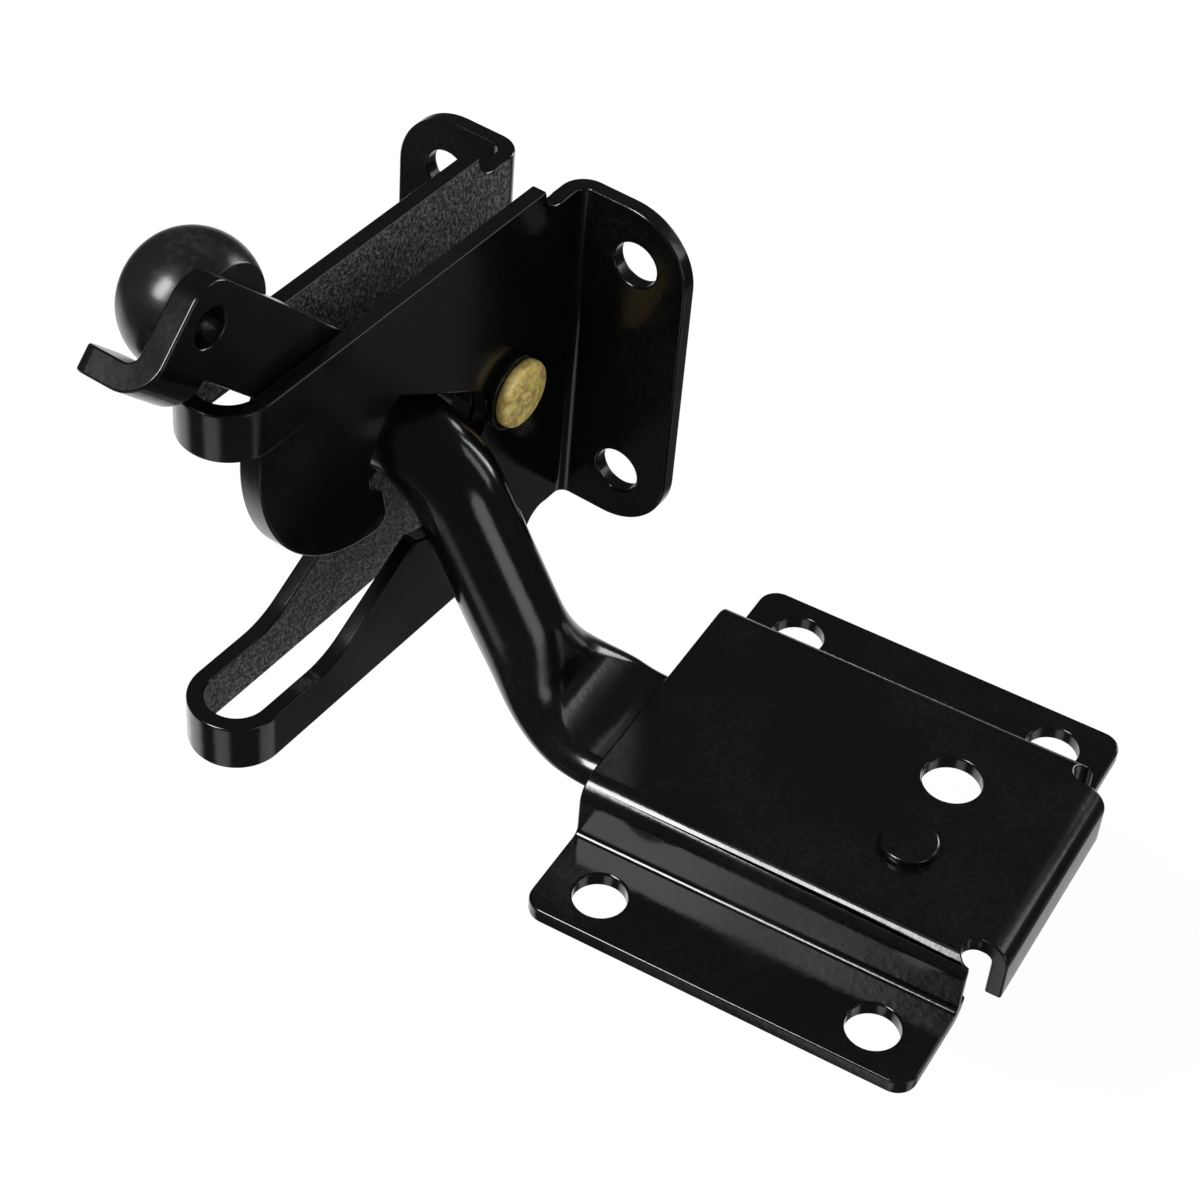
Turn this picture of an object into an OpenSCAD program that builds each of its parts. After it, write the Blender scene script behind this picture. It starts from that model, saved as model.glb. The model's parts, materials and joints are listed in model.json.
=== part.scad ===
// Automatic gate latch: a bent-sheet latch with a lifting pawl, and a cranked striker bar
// riveted under a hat-section plate.
// Millimetres. The origin is the centre of the latch's four screw holes, on the post's face.
// -Y points out of the post, +Z is up, +X runs along the striker bar towards its plate.

/* [Latch body] */
// Thickness of the bent sheet
sheet = 2; // [1.6:0.1:2.4]
// Width over the two cheeks
body_w = 11.4; // [10.8:0.1:13]
// How far the noses stand out of the post
body_out = 61.7; // [59:0.1:66]
// Height over the two arms
arm_span = 52; // [51:0.5:55]
// Height of one arm at its nose
arm_h = 6.3; // [5:0.1:8]
// Distance from the post at which the mouth starts to narrow
mouth_out = 45.5; // [42:0.5:48]
// Radius of the soft corner where the mouth starts to narrow
mouth_r = 11; // [6:1:20]
// Distance of the throat's centre from the post
throat_out = 24.2; // [23.2:0.1:25.2]
// Radius of the throat
throat_r = 5.8; // [5.7:0.1:6.2]
// Radius of the relief under the crank, in the near cheek
crank_relief = 7; // [6.9:0.1:7.5]
// Width over the two flanges
flange_w = 40.9; // [40:0.1:46]
// Height of the flanges
flange_h = 45.8; // [44:0.1:47]
// Radius of the flanges' outer corners
flange_r = 8.5; // [4:0.5:10]
// Inner radius of the bend between cheek and flange
bend_r = 1.2; // [0.4:0.1:1.5]
// Distance of the bend relief from the post
relief_out = 5.8; // [5.4:0.1:7]
// Radius of the bend relief
relief_r = 3.2; // [2.6:0.1:3.6]
// Screw spacing across the latch
screw_x = 27; // [25:0.5:29]
// Screw spacing up the latch
screw_z = 31; // [28:0.5:33]
// Diameter of the screw holes
screw_d = 5.8; // [5:0.1:7]

/* [Pivot] */
// Distance of the pawl's pivot from the post
pivot_out = 14; // [13.2:0.1:14.7]
// Height of the pivot above the screw pattern's centre
pivot_z = 1; // [0:0.1:2]
// Diameter of the rivet's shank
pivot_d = 5; // [4:0.1:5.4]
// Diameter of the rivet's near head
head_d = 8.5; // [8:0.1:9.2]
// Height of the rivet's near head
head_h = 1.6; // [1:0.1:2.5]
// Width of the head's bevelled rim
head_bevel = 0.7; // [0.3:0.1:0.9]
// Diameter of the washer under the near head
washer_d = 9.8; // [9.2:0.1:11]
// Thickness of that washer
washer_t = 1; // [0.6:0.1:1.5]
// Diameter of the spacer beside the pawl
spacer_d = 9; // [8:0.1:10]

/* [Pawl] */
// Thickness of the pawl's plate
pawl_t = 3; // [2.5:0.1:3.4]
// Slope of the lever
lever_angle = 44.2; // [42:0.1:46]
// How far the lever reaches past the knob's axis
lever_past = 11.3; // [10.8:0.1:13]
// Height of the lever's strip
lever_w = 10; // [9.6:0.1:10.6]
// How far the strip's upper edge lies below the pivot, square to the lever
lever_drop = 1.8; // [1:0.1:2.5]
// Radius of the lever's upper corner
lever_r = 3.6; // [1:0.1:4.5]
// Length of the thumb tab along the lever
tab_len = 8; // [6:0.1:8.5]
// How far the thumb tab reaches from the pawl's near face
tab_out = 9.6; // [8:0.1:11]
// Inner radius of the thumb tab's bend
tab_bend = 1.5; // [0.8:0.1:2]
// Radius of the thumb tab's corners
tab_r = 1.8; // [0.5:0.1:2.5]
// Diameter of the cord hole
cord_d = 4.5; // [3:0.1:5]
// Distance of the cord hole from the lever's end
cord_end = 4.5; // [4:0.1:5.5]
// Radius of the lobe that the bar pushes
lobe_r = 21; // [20.5:0.1:21.5]
// Distance of the lobe's centre from the pivot, away from the post
lobe_y = 20.2; // [19.6:0.1:20.8]
// Height of the lobe's centre above the pivot
lobe_z = 12.5; // [12:0.1:13]
// Radius of the notch round the bar
notch_r = 8.8; // [8.4:0.1:9.2]
// Distance of the hook's tip from the bar's axis, away from the post
tip_out = 7.5; // [7.2:0.05:7.8]
// Height of the hook's tip below the bar's axis
tip_down = 7.5; // [7.3:0.05:7.7]
// Radius of the hook's tip
tip_r = 1.85; // [1.6:0.05:2]
// Distance of the hook's heel from the bar's axis, away from the post
heel_out = 7.8; // [7.6:0.05:8]
// Height of the hook's heel below the bar's axis
heel_down = 5.25; // [5:0.05:5.5]
// Radius of the hook's heel
heel_r = 1.7; // [1.5:0.05:1.8]
// Height below the bar's axis at which the notch meets the heel
notch_low = 2.4; // [2:0.1:2.8]
// Radius of the pawl's eye round the pivot
eye_r = 6.5; // [5.5:0.1:7]

/* [Knob] */
// Largest radius of the knob
knob_r = 7.8; // [7.2:0.1:8]
// Radius of the knob's rounded flank
knob_flank = 7.1; // [6.4:0.1:7.1]
// Distance from the knob's widest ring to its seat on the pawl
knob_seat = 4.5; // [3.5:0.1:5]
// Gap between the knob and the arm below it
knob_gap = 0.47; // [0.3:0.01:1]
// How far the knob's axis lies below the pivot, square to the lever
knob_drop = 5.8; // [5.2:0.1:6]
// Diameter of the knob's stud
stud_d = 4; // [3:0.1:5]
// How deep the stud sits in the lever
stud_deep = 2; // [1.5:0.1:2.2]

/* [Striker bar] */
// Diameter of the bar
bar_d = 11; // [10:0.1:11.2]
// Distance of the bar's axis from the post
bar_out = 28; // [27.6:0.1:28.7]
// Height of the bar's axis above the screw pattern's centre
bar_z = 1.85; // [1.2:0.05:2]
// How far the bar reaches past the latch's centre plane
bar_end = 15; // [12:0.1:16]
// Turn of the whole striker about the bar's place in the mouth
striker_yaw = 6; // [0:0.5:7]
// Place of the crank's upper corner along the bar
crank_x = 5; // [4.6:0.1:5.6]
// Slope of the crank
crank_angle = 61; // [58:0.5:64]
// Bend radius at the crank's upper corner
crank_r = 13.5; // [12:0.5:15]
// Bend radius at the crank's lower corner
foot_r = 13; // [11:0.5:14]
// Width of the flattened tongue
tongue_w = 19.4; // [18:0.1:19.8]
// Thickness of the tongue
tongue_t = 5; // [4:0.1:5]
// Distance from the bar's place in the mouth to the rivet
tongue_x = 68.7; // [67:0.1:70]

/* [Striker plate] */
// Length of the plate along the bar
plate_l = 48.6; // [46:0.1:52]
// Width over the plate's flanges
plate_w = 61.4; // [59:0.1:66]
// Radius of the flanges' corners
plate_r = 2.5; // [1:0.1:4]
// Thickness of the plate's sheet
plate_t = 2; // [1.6:0.1:2.2]
// Width over the raised channel
hat_w = 36.4; // [36:0.1:38]
// Height of the channel above the flanges
hat_h = 8; // [8:0.1:9]
// Height of the flanges' upper face below the bar's axis
plate_drop = 37.67; // [36:0.01:40]
// Outer radius of the channel's upper bends
hat_r = 3; // [2.5:0.1:3.5]
// Inner radius of the bends at the flanges
foot_bend = 0.8; // [0.4:0.1:1.2]
// Screw spacing along the bar
plate_x = 34.5; // [32:0.5:36]
// Screw spacing across the bar
plate_y = 50; // [48.5:0.5:52]
// Diameter of the plate's screw holes
plate_hole = 6.4; // [5:0.1:7]
// Distance of the rivet from the plate's middle, along the bar
rivet_x = 11.3; // [10:0.1:12]
// Distance of the rivet from the plate's middle, across the bar
rivet_y = 6; // [5.8:0.1:6.2]
// Diameter of the spare hole
spare_d = 7.1; // [5:0.1:7.5]
// Width of the folded end wall
end_w = 28; // [24:0.5:29]
// How far the end wall stands past the flanges
end_out = 3.3; // [2.4:0.1:4]
// Radius of the corner reliefs beside the end wall
corner_r = 1.7; // [1.5:0.1:2.6]

/* [Striker rivet] */
// Diameter of the rivet's shank
shank_d = 4.8; // [4:0.1:5.5]
// Diameter of the rivet's head
rivet_head = 6.9; // [6.4:0.1:9]
// Height of the rivet's head
rivet_h = 1.2; // [0.8:0.1:2]
// How far the rivet's tail stays above the plate's underside
tail_in = 0.6; // [0.3:0.1:1]
// How far the rivet's tail is spread, all round
tail_spread = 0.5; // [0.2:0.1:1]
// Diameter of the washer under the tongue
under_d = 12; // [9:0.1:14]
// Thickness of that washer
under_t = 0.8; // [0.5:0.1:0.9]

/* [Hidden] */
$fn = 96;
fit = 0.05;
gap = 0.3;
slide_gap = 0.1;
eps = 0.01;
skin = 0.04;
over = 0.6;
lap = 0.05;
black = "#1b1b1b";
brass = "#b79a52";

gap_half = body_w / 2 - sheet;
arm_z = arm_span / 2;
mouth_z = arm_z - arm_h;
bend_out = sheet + bend_r;
crank_mid = [bar_out - 0.8, bar_z - bar_d / 2 - 1.35];
nose_out = body_out - body_w / 2;

pawl_near = gap_half - gap;
pawl_far = pawl_near - pawl_t;
lever_low = -lever_drop - lever_w;
lever_mid = lever_low + lever_w / 2;
bend_x = pawl_near - tab_bend - pawl_t;
bend_t = lever_low;
tab_low = bend_t - tab_bend - pawl_t;
neck_s = 38.4;

knob_x = pawl_far - knob_seat;
knob_rise = arm_z + knob_gap + knob_r - pivot_z;
knob_len = (knob_rise + knob_drop * cos(lever_angle)) / sin(lever_angle);
lever_len = knob_len + lever_past;
stud_in = 7;

foot_x = tongue_x - rivet_x;
wall_in = hat_w / 2 - plate_t;
hat_in = hat_h - plate_t;
tongue_mid = hat_in - slide_gap - tongue_t / 2;
under_top = tongue_mid - tongue_t / 2 - slide_gap;
tail_h = under_top - under_t + plate_t - tail_in;
crank_fall = plate_drop - tongue_mid;
bend_fall = (crank_r + foot_r) * (1 - cos(crank_angle));
crank_run = (crank_fall - bend_fall) / sin(crank_angle);
upper_x = crank_x - crank_r * tan(crank_angle / 2);
jog_x = upper_x + crank_r * sin(crank_angle);
jog_z = -crank_r * (1 - cos(crank_angle));
low_x = jog_x + crank_run * cos(crank_angle);
flat_x = low_x + foot_r * sin(crank_angle);
FLAT_STEPS = 8;
FLAT_EARLY = 1.35;
RING_SIDES = 24;

// Point where a line from a corner touches the throat, and the corner's tangent points
mouth_dir = atan2(mouth_z, mouth_out - throat_out);
mouth_far = norm([mouth_z, mouth_out - throat_out]);
touch = mouth_dir + acos(throat_r / mouth_far);
throat_pt = [throat_out + throat_r * cos(touch), throat_r * sin(touch)];
slope = atan2(mouth_z - throat_pt[1], mouth_out - throat_pt[0]);
soft = mouth_r * tan(slope / 2);
soft_in = [mouth_out - soft * cos(slope), mouth_z - soft * sin(slope)];
soft_out = [mouth_out + soft, mouth_z];
soft_mid = [mouth_out + soft, mouth_z - mouth_r];

// Draws a shape given as distance from the post and height, as a plate across X
module across(width) {
    rotate([90, 0, -90])
        linear_extrude(width, center = true)
            children();
}

// Moves to the pivot, with Y square to the lever and Z along it
module on_lever() {
    translate([0, -pivot_out, pivot_z])
        rotate([90 - lever_angle, 0, 0])
            children();
}

// Moves to the bar's place in the mouth, with X along the bar
module on_bar() {
    translate([0, -bar_out, bar_z])
        rotate([0, 0, striker_yaw])
            children();
}

// Moves to the middle of the striker plate, on its flanges' upper face
module on_plate() {
    on_bar()
        translate([foot_x, rivet_y, -plate_drop])
            children();
}

module rounded(size, r) {
    square([size[0] - 2 * r, size[1]], center = true);
    square([size[0], size[1] - 2 * r], center = true);
    for (x = [-1, 1], y = [-1, 1])
        translate([x * (size[0] / 2 - r), y * (size[1] / 2 - r)])
            circle(r);
}

// A quarter of a bent sheet, in the corner below and left of the origin
module quarter_bend(inner, thick) {
    intersection() {
        difference() {
            circle(inner + thick);
            circle(inner);
        }
        translate([-inner - thick, -inner - thick])
            square(inner + thick);
    }
}

// The sheet seen from above: flange, cheek, nose, cheek, flange
module body_plan() {
    difference() {
        union() {
            translate([-body_w / 2, -nose_out])
                square([body_w, nose_out - bend_out]);
            translate([0, -nose_out])
                circle(body_w / 2);
        }
        translate([-gap_half, -nose_out])
            square([2 * gap_half, nose_out]);
        translate([0, -nose_out])
            circle(gap_half);
    }
    for (m = [0, 1])
        mirror([m, 0]) {
            translate([body_w / 2 + bend_r, -bend_out])
                mirror([0, 1])
                    quarter_bend(bend_r, sheet);
            translate([body_w / 2 + bend_r, -sheet])
                square([flange_w / 2 - body_w / 2 - bend_r, sheet]);
        }
}

// The opening that guides the bar into the throat
module mouth() {
    translate([throat_out, 0])
        circle(throat_r);
    polygon([
        throat_pt, soft_in, soft_out, [body_out + 1, mouth_z],
        [body_out + 1, -mouth_z], [soft_out[0], -soft_out[1]],
        [soft_in[0], -soft_in[1]], [throat_pt[0], -throat_pt[1]]
    ]);
    for (m = [0, 1])
        mirror([0, m])
            intersection() {
                translate(soft_mid)
                    circle(mouth_r);
                polygon([soft_in, [mouth_out, mouth_z], soft_out, soft_mid]);
            }
}

// The latch seen from the side, as distance from the post and height
module body_side() {
    difference() {
        union() {
            translate([relief_out, -arm_z])
                square([body_out - relief_out + 1, arm_span]);
            translate([-1, -flange_h / 2])
                square([relief_out + 1, flange_h]);
        }
        mouth();
        for (m = [-1, 1])
            translate([relief_out, m * arm_z])
                circle(relief_r);
    }
}

module latch_body() {
    color(black)
        difference() {
            intersection() {
                linear_extrude(arm_span + 2, center = true)
                    body_plan();
                across(flange_w + 2)
                    body_side();
                rotate([90, 0, 0])
                    translate([0, 0, -1])
                        linear_extrude(body_out + 2) {
                            rounded([flange_w, flange_h], flange_r);
                            square([body_w + eps, arm_span + 1], center = true);
                        }
            }
            for (x = [-1, 1], z = [-1, 1])
                translate([x * screw_x / 2, 1, z * screw_z / 2])
                    rotate([90, 0, 0])
                        cylinder(d = screw_d, h = sheet + 2);
            at_pivot()
                cylinder(d = pivot_d + 2 * fit, h = body_w + 2, center = true);
            translate([gap_half - sheet / 4, -crank_mid[0], crank_mid[1]])
                rotate([0, 90, 0])
                    cylinder(r = crank_relief, h = 2 * sheet);
        }
}

// Moves to the pivot's axis, with Z along X
module at_pivot() {
    translate([0, -pivot_out, pivot_z])
        rotate([0, 90, 0])
            children();
}

module pivot_rivet() {
    stack = body_w / 2 + washer_t;
    color(brass)
        at_pivot() {
            translate([0, 0, -body_w / 2])
                cylinder(d = pivot_d, h = stack + body_w / 2);
            translate([0, 0, stack])
                cylinder(d = head_d, h = head_h - head_bevel);
            translate([0, 0, stack + head_h - head_bevel])
                cylinder(d1 = head_d, d2 = head_d - 2 * head_bevel, h = head_bevel);
            translate([0, 0, -body_w / 2 - head_h])
                cylinder(d1 = head_d - 2 * head_h, d2 = head_d, h = head_h);
        }
}

module head_washer() {
    color(black)
        at_pivot()
            translate([0, 0, body_w / 2])
                difference() {
                    cylinder(d = washer_d, h = washer_t);
                    translate([0, 0, -1])
                        cylinder(d = pivot_d + 2 * fit, h = washer_t + 2);
                }
}

module pawl_spacer() {
    length = pawl_far + gap_half - slide_gap;
    color(black)
        at_pivot()
            translate([0, 0, -gap_half])
                difference() {
                    cylinder(d = spacer_d, h = length);
                    translate([0, 0, -1])
                        cylinder(d = pivot_d + 2 * fit, h = length + 2);
                }
}

// Point of the lever's frame as distance from the post and height
function lever_pt(s, t) = [
    pivot_out + s * cos(lever_angle) - t * sin(lever_angle),
    pivot_z + s * sin(lever_angle) + t * cos(lever_angle)
];

// The lever's strip with its rounded upper corner
module lever_strip() {
    translate([pivot_out, pivot_z])
        rotate(lever_angle) {
            translate([eye_r, lever_low])
                square([lever_len - lever_r - eye_r, lever_w]);
            translate([lever_len - lever_r - eps, lever_low])
                square([lever_r + eps, lever_w - lever_r]);
            translate([lever_len - lever_r, -lever_drop - lever_r])
                circle(lever_r);
        }
}

// The hook's tip and heel, as distance from the post and height
hook_tip = [bar_out + tip_out, bar_z - tip_down];
hook_heel = [bar_out + heel_out, bar_z - heel_down];
heel_top = [hook_heel[0] - heel_r * sin(40), hook_heel[1] + heel_r * cos(40)];
eye_in = eye_r - 0.1;
notch_end = [bar_out + sqrt(notch_r * notch_r - notch_low * notch_low), bar_z - notch_low];

// The lobe in front of the bar, from the lever down to the hook
module lobe() {
    front = lever_pt(neck_s - 4, lever_mid);
    top = lever_pt(neck_s + lobe_r, lever_mid);
    intersection() {
        translate([pivot_out + lobe_y, pivot_z + lobe_z])
            circle(lobe_r);
        polygon([
            front, top, [top[0] + lobe_r / 3, hook_tip[1]],
            [hook_tip[0] + lobe_r / 2, hook_tip[1] - lobe_r / 5],
            [hook_tip[0], hook_tip[1] - lobe_r / 5], hook_tip, hook_heel,
            [bar_out + notch_r - 2, bar_z - 2], [bar_out + notch_r / 2, bar_z + notch_r / 2]
        ]);
    }
}

// The hook under the bar, with its rounded tip and heel
module hook() {
    inset = 0.06;
    tip = tip_r - inset;
    heel = heel_r - inset;
    start = [hook_heel[0] - heel * sin(40), hook_heel[1] + heel * cos(40)];
    rise = [notch_end[0] - heel_top[0], notch_end[1] - heel_top[1]];
    translate(hook_tip)
        circle(tip_r);
    translate(hook_heel)
        circle(heel_r);
    polygon([
        [hook_tip[0] - tip, hook_tip[1]], [hook_heel[0] - heel, hook_heel[1]],
        [hook_heel[0] + heel, hook_heel[1]], [hook_tip[0] + tip, hook_tip[1]]
    ]);
    polygon([
        start, start + 1.5 * rise,
        [hook_heel[0] + heel_r + 0.5, hook_heel[1] - 0.5],
        hook_heel
    ]);
}

module pawl_side() {
    difference() {
        union() {
            difference() {
                union() {
                    translate([pivot_out, pivot_z])
                        circle(eye_r);
                    lever_strip();
                    lobe();
                    polygon([
                        [pivot_out - eye_in * sin(32), pivot_z + eye_in * cos(32)],
                        lever_pt(neck_s + 6, lever_mid + 2),
                        lever_pt(neck_s + 6, lever_mid - 2),
                        [pivot_out, pivot_z]
                    ]);
                }
                translate([bar_out, bar_z])
                    circle(notch_r);
                translate([throat_out, 0])
                    circle(throat_r + gap);
            }
            hook();
        }
        translate([pivot_out, pivot_z])
            circle(pivot_d / 2 + fit);
        translate(lever_pt(lever_len - cord_end, lever_mid))
            circle(cord_d / 2);
    }
}

// The thumb tab folded from the lever's lower edge, as its section and its outline
module thumb_tab() {
    tip = pawl_near - tab_out;
    on_lever()
        intersection() {
            translate([0, 0, lever_len - tab_len])
                linear_extrude(tab_len) {
                    translate([bend_x, bend_t])
                        mirror([1, 0])
                            quarter_bend(tab_bend, pawl_t);
                    translate([tip, tab_low])
                        square([bend_x - tip, pawl_t]);
                    translate([pawl_far, bend_t])
                        square([pawl_t, sheet]);
                }
            translate([tip + tab_out / 2, tab_low - 1, lever_len - tab_len / 2])
                rotate([-90, 0, 0])
                    linear_extrude(lever_w + pawl_t)
                        union() {
                            rounded([tab_out, tab_len], tab_r);
                            translate([0, -tab_len / 2 - 1])
                                square([tab_out, tab_len + 2]);
                        }
        }
}

module pawl() {
    color(black)
        difference() {
            union() {
                translate([(pawl_near + pawl_far) / 2, 0, 0])
                    across(pawl_t)
                        pawl_side();
                thumb_tab();
            }
            on_lever()
                translate([pawl_far - 1, -knob_drop, knob_len])
                    rotate([0, 90, 0])
                        cylinder(d = stud_d + 2 * fit, h = stud_deep + slide_gap + 1);
        }
}

module knob() {
    side = knob_r - knob_flank;
    color(black)
        on_lever()
            translate([knob_x, -knob_drop, knob_len])
                rotate([0, 90, 0])
                    difference() {
                        rotate_extrude()
                            intersection() {
                                union() {
                                    translate([side, 0])
                                        circle(knob_flank);
                                    translate([0, -knob_flank])
                                        square([side, 2 * knob_flank]);
                                }
                                translate([0, -knob_r])
                                    square([knob_r + 1, knob_r + knob_seat]);
                            }
                        translate([0, 0, knob_seat - stud_in])
                            cylinder(d = stud_d + 2 * fit, h = stud_in + 1);
                    }
}

module knob_stud() {
    color(black)
        on_lever()
            translate([pawl_far - stud_in + gap, -knob_drop, knob_len])
                rotate([0, 90, 0])
                    cylinder(d = stud_d, h = stud_in - gap + stud_deep);
}

// Ring i of the lower bend: half thickness and half width go from round to flat
function ring_turn(i) = i == 0 ? -lap : i > FLAT_STEPS + 1 ? 1 + lap : (i - 1) / FLAT_STEPS;
function ring_k(i) = max(0, min(1, ring_turn(i) * FLAT_EARLY));
function ring_half_t(i) = bar_d / 2 + (tongue_t - bar_d) / 2 * ring_k(i) - skin;
function ring_half_w(i) = bar_d / 2 + (tongue_w - bar_d) / 2 * ring_k(i) - skin;
function ring_angle(i) = crank_angle * (1 - ring_turn(i));
function ring_point(i, j) =
    let (
        a = 360 * (j + 0.5) / RING_SIDES,
        turn = ring_angle(i),
        up = ring_half_t(i) * cos(a),
        side = ring_half_t(i) * sin(a),
        spread = (ring_half_w(i) - ring_half_t(i)) * sign(sin(a))
    )
    [
        low_x + foot_r * (sin(crank_angle) - sin(turn)) + up * sin(turn),
        side + spread,
        -crank_fall + foot_r * (1 - cos(turn)) + up * cos(turn)
    ];

// The lower bend, where the round bar is pressed flat
module pressed_bend() {
    last = FLAT_STEPS + 2;
    sides = [for (i = [0 : last - 1], j = [0 : RING_SIDES - 1])
        let (
            a = i * RING_SIDES + j,
            b = i * RING_SIDES + (j + 1) % RING_SIDES
        )
        each [[a, b, a + RING_SIDES], [b, b + RING_SIDES, a + RING_SIDES]]];
    polyhedron(
        points = [for (i = [0 : last], j = [0 : RING_SIDES - 1]) ring_point(i, j)],
        faces = concat(
            [[for (j = [RING_SIDES - 1 : -1 : 0]) j]],
            sides,
            [[for (j = [0 : RING_SIDES - 1]) last * RING_SIDES + j]]
        )
    );
}

module tongue() {
    side = (tongue_w - tongue_t) / 2;
    length = tongue_x - flat_x;
    translate([flat_x, 0, -crank_fall]) {
        translate([0, -side, -tongue_t / 2])
            cube([length, 2 * side, tongue_t]);
        for (y = [-1, 1])
            translate([0, y * side, 0])
                rotate([0, 90, 0])
                    cylinder(d = tongue_t, h = length);
        translate([length, 0, -tongue_t / 2])
            cylinder(r = side, h = tongue_t);
        translate([length, 0, 0])
            rotate([0, 0, -90])
                rotate_extrude(angle = 180)
                    translate([side, 0])
                        circle(d = tongue_t);
    }
}

module striker_bar() {
    bevel = 0.8;
    color(black)
        on_bar()
            difference() {
                union() {
                    translate([-bar_end + bevel, 0, 0])
                        rotate([0, 90, 0])
                            cylinder(d = bar_d, h = upper_x + bar_end - bevel + over);
                    translate([-bar_end, 0, 0])
                        rotate([0, 90, 0])
                            cylinder(d1 = bar_d - 2 * bevel, d2 = bar_d, h = bevel);
                    translate([upper_x, 0, -crank_r])
                        rotate([90, 0, 0])
                            rotate([0, 0, 90 - crank_angle])
                                rotate_extrude(angle = crank_angle)
                                    translate([crank_r, 0])
                                        circle(bar_d / 2 - skin);
                    translate([jog_x, 0, jog_z])
                        rotate([0, 90 + crank_angle, 0])
                            translate([0, 0, -over])
                                cylinder(d = bar_d, h = crank_run + over);
                    pressed_bend();
                    tongue();
                }
                translate([tongue_x, 0, -crank_fall])
                    cylinder(d = shank_d + 2 * fit, h = 2 * tongue_t, center = true);
            }
}

// The channel's section: width across the bar and height above the flanges
module hat_section() {
    translate([-hat_w / 2 + hat_r, hat_in])
        square([hat_w - 2 * hat_r, plate_t]);
    for (m = [0, 1])
        mirror([m, 0]) {
            translate([hat_w / 2 - hat_r, hat_h - hat_r])
                mirror([1, 1])
                    quarter_bend(hat_r - plate_t, plate_t);
            translate([wall_in, foot_bend])
                square([plate_t, hat_h - hat_r - foot_bend]);
            translate([hat_w / 2 + foot_bend, foot_bend])
                quarter_bend(foot_bend, plate_t);
            translate([hat_w / 2 + foot_bend, -plate_t])
                square([(plate_w - hat_w) / 2 - foot_bend, plate_t]);
        }
}

// The end wall folded down from the channel's roof
module end_wall() {
    face = plate_l / 2 + end_out;
    rotate([90, 0, 0])
        linear_extrude(end_w, center = true) {
            translate([face - hat_r - 6, hat_in])
                square([6, plate_t]);
            translate([face - hat_r, hat_h - hat_r])
                mirror([1, 1])
                    quarter_bend(hat_r - plate_t, plate_t);
            translate([face - plate_t, 0])
                square([plate_t, hat_h - hat_r]);
        }
}

module striker_plate() {
    color(black)
        on_plate()
            difference() {
                union() {
                    intersection() {
                        rotate([90, 0, 90])
                            linear_extrude(plate_l, center = true)
                                hat_section();
                        translate([0, 0, -plate_t - 1])
                            linear_extrude(hat_h + plate_t + 2)
                                rounded([plate_l, plate_w], plate_r);
                    }
                    end_wall();
                }
                for (x = [-1, 1], y = [-1, 1])
                    translate([x * plate_x / 2, y * plate_y / 2, -plate_t - 1])
                        cylinder(d = plate_hole, h = plate_t + 2);
                for (y = [-1, 1])
                    translate([plate_l / 2, y * (end_w / 2 + corner_r), foot_bend])
                        cylinder(r = corner_r, h = hat_h);
                translate([rivet_x, -rivet_y, 0])
                    cylinder(d = shank_d + 2 * fit, h = hat_h + 1);
                translate([rivet_x, rivet_y, 0])
                    cylinder(d = spare_d, h = hat_h + 1);
            }
}

module striker_rivet() {
    tail_top = under_top - under_t;
    color(black)
        on_plate()
            translate([rivet_x, -rivet_y, 0]) {
                translate([0, 0, tail_top])
                    cylinder(d = shank_d, h = hat_h - tail_top);
                translate([0, 0, hat_h])
                    cylinder(d = rivet_head, h = rivet_h);
                translate([0, 0, tail_top - tail_h])
                    cylinder(d1 = rivet_head, d2 = rivet_head + 2 * tail_spread, h = tail_h);
            }
}

module striker_washer() {
    color(black)
        on_plate()
            translate([rivet_x, -rivet_y, under_top - under_t])
                difference() {
                    cylinder(d = under_d, h = under_t);
                    translate([0, 0, -1])
                        cylinder(d = shank_d + 2 * fit, h = under_t + 2);
                }
}

latch_body();
pivot_rivet();
head_washer();
pawl_spacer();
pawl();
knob();
knob_stud();
striker_bar();
striker_plate();
striker_rivet();
striker_washer();
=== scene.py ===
"""Dresses the automatic gate latch: powder-coated sheet, cranked bar, brass-yellow rivet and gloss knob."""

import json
import math

import bmesh
import bpy
from bpy.props import FloatProperty, FloatVectorProperty, IntProperty, PointerProperty
from bpy.types import Operator, Panel, PropertyGroup
from mathutils import Matrix, Vector
from mathutils.bvhtree import BVHTree


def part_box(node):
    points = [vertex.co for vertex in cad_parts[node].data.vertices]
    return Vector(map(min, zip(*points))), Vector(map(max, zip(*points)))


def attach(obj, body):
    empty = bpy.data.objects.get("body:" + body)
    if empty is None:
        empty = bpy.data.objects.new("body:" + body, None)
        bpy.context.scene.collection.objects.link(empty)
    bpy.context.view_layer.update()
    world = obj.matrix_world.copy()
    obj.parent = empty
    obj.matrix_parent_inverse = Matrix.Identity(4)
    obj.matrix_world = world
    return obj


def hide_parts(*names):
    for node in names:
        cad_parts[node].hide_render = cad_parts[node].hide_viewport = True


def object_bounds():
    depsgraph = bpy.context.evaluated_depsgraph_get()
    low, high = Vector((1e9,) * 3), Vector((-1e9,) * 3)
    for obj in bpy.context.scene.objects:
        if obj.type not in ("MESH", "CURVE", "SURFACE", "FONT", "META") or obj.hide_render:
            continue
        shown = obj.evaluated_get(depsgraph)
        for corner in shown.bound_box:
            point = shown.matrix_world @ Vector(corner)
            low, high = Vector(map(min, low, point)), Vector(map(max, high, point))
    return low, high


bl_info = {
    "name": "Automatic gate latch",
    "version": (1, 0, 0),
    "blender": (4, 5, 0),
    "location": "View3D > Sidebar > Gate latch",
    "description": "Builds the finished pieces of an automatic gate latch on its solid model",
    "category": "Object",
}

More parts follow.
